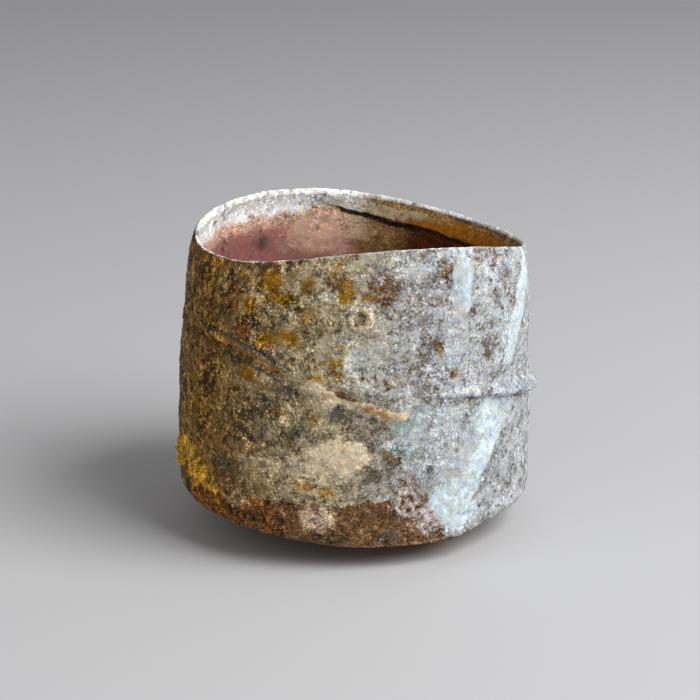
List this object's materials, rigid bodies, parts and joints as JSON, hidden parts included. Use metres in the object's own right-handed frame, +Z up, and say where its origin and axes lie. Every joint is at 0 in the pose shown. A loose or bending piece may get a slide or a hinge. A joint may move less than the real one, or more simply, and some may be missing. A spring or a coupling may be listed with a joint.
{
  "type": "sake cup",
  "caption": "Small handleless wood-fired sake cup with a wavy lip, a slanted waist seam with a raised cord, runs of ash glaze, a glazed well and a low foot ring.",
  "frame": {"origin": "centre of the cup's box in plan, at the plane the foot stands on", "axes": "+Z up out of the mouth; -Y is the front seen in the picture; +X is its right"},
  "size_m": [0.0664, 0.0638, 0.0583],
  "materials": {
    "bare_clay": "matte bare stoneware",
    "scorched_clay": "matte, flashed rust brown by the fire",
    "ashed_clay": "rough, speckled with melted ash",
    "frosted_clay": "satin, frosted pale by ash",
    "well_glaze": "glossy red brown natural glaze",
    "ash_glass": "satin pale blue-white ash glass",
    "ash_crust": "rough yellow ash crust",
    "feldspar": "pale burst feldspar",
    "wad_clay": "matte wad clay"
  },
  "bodies": {
    "root": {"foot_ring": "bare_clay", "base_dish": "scorched_clay", "lower_wall": "ashed_clay", "upper_wall": "ashed_clay", "waist_cord": "frosted_clay", "lip_strip": "frosted_clay", "inner_glaze": "well_glaze", "glaze_run_broad": "ash_glass", "glaze_run_edge": "ash_glass", "glaze_run_upper": "ash_glass", "ash_crust_high": "ash_crust", "ash_crust_low": "ash_crust", "stone_burst": "feldspar", "wad_scar": "wad_clay"}
  },
  "joints": []
}
